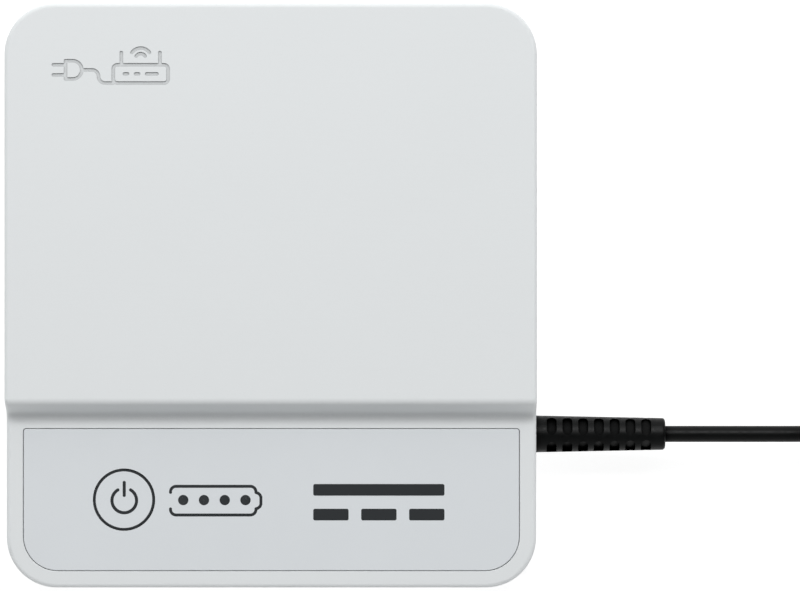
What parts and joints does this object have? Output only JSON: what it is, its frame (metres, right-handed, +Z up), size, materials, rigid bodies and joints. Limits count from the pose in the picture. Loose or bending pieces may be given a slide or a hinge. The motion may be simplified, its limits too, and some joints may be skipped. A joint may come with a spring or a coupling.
{
  "type": "uninterruptible power supply",
  "caption": "Compact DC backup supply: pale two-shell case with stepped front fascia, press button, battery gauge lights and a strain-relieved output cord ending in a barrel plug",
  "frame": {"origin": "centre of the body's footprint on the plane the rubber feet rest on; the body's underside is 1 mm above it", "axes": "+Z up out of the platform, +X toward the output cord, +Y toward the rear of the raised platform"},
  "size_m": [0.2073, 0.1156, 0.028],
  "materials": {
    "shell_plastic": "fine satin texture",
    "fascia_plastic": "smooth satin",
    "mark_ink": "flat dark print",
    "light_guide": "smoked clear",
    "soft_black": "satin moulded",
    "foot_rubber": "matt",
    "board_laminate": "solder mask",
    "black_plastic": "moulded",
    "white_plastic": "nylon",
    "nickel": "plated",
    "steel": "zinc plated",
    "tin": "tin plated",
    "can_aluminium": "drawn can",
    "lamp_resin": "clear resin",
    "ferrite": "ferrite",
    "cell_sleeve": "shrink sleeve",
    "kraft": "barley paper",
    "foam": "open foam",
    "wire_red": "insulation",
    "wire_black": "insulation",
    "label_stock": "film label",
    "glue": "adhesive film",
    "chip_ceramic": "sintered"
  },
  "bodies": {
    "case": {"top_case": "shell_plastic", "bottom_case": "shell_plastic", "fascia_panel": "fascia_plastic", "fascia_adhesive_film": "glue", "battery_gauge_outline": "mark_ink", "direct_current_mark": "mark_ink", "indicator_light_guide": "light_guide", "status_leds": "lamp_resin", "main_circuit_board": "board_laminate", "case_screws": "steel", "board_screws": "steel", "push_switch_housing": "black_plastic", "push_switch_cover": "tin", "push_switch_terminals": "tin", "input_socket_housing": "black_plastic", "input_socket_centre_pin": "nickel", "input_socket_spring_contact": "nickel", "power_inductors": "ferrite", "electrolytic_capacitors": "can_aluminium", "control_chips": "black_plastic", "power_transistors": "black_plastic", "chip_capacitors_and_resistors": "chip_ceramic", "board_fuse": "white_plastic", "battery_cell_left": "cell_sleeve", "battery_cell_middle": "cell_sleeve", "battery_cell_right": "cell_sleeve", "cell_terminal_caps": "nickel", "cell_insulator_rings": "white_plastic", "nickel_strips": "nickel", "insulating_papers": "kraft", "cell_foam_pads": "foam", "battery_protection_board": "board_laminate", "protection_board_components": "black_plastic", "battery_header": "white_plastic", "battery_header_pins": "tin", "battery_lead_plug": "white_plastic", "battery_wire_red": "wire_red", "battery_wire_black": "wire_black", "rubber_feet": "foot_rubber", "rating_label": "label_stock", "output_strain_relief": "soft_black", "output_cord": "soft_black", "output_wire_red": "wire_red", "output_wire_black": "wire_black", "plug_grip": "soft_black", "plug_barrel_sleeve": "nickel", "plug_insulator": "black_plastic", "plug_inner_contact": "nickel"},
    "button": {"power_button": "fascia_plastic", "power_button_ring": "mark_ink", "power_symbol": "mark_ink"},
    "switch_plunger": {"push_switch_plunger": "black_plastic"}
  },
  "joints": [
    {"name": "power_button_press", "type": "slide", "parent": "case", "child": "button", "axis": [0, 0, -1], "range_m": [0, 0.0005], "stiffness_N_per_m": 400, "springref_m": -0.001},
    {"name": "switch_plunger_press", "type": "slide", "parent": "case", "child": "switch_plunger", "axis": [0, 0, -1], "range_m": [0, 0.0005]}
  ],
  "couplings": [
    {"joint": "switch_plunger_press", "follows": "power_button_press", "ratio": 1}
  ]
}
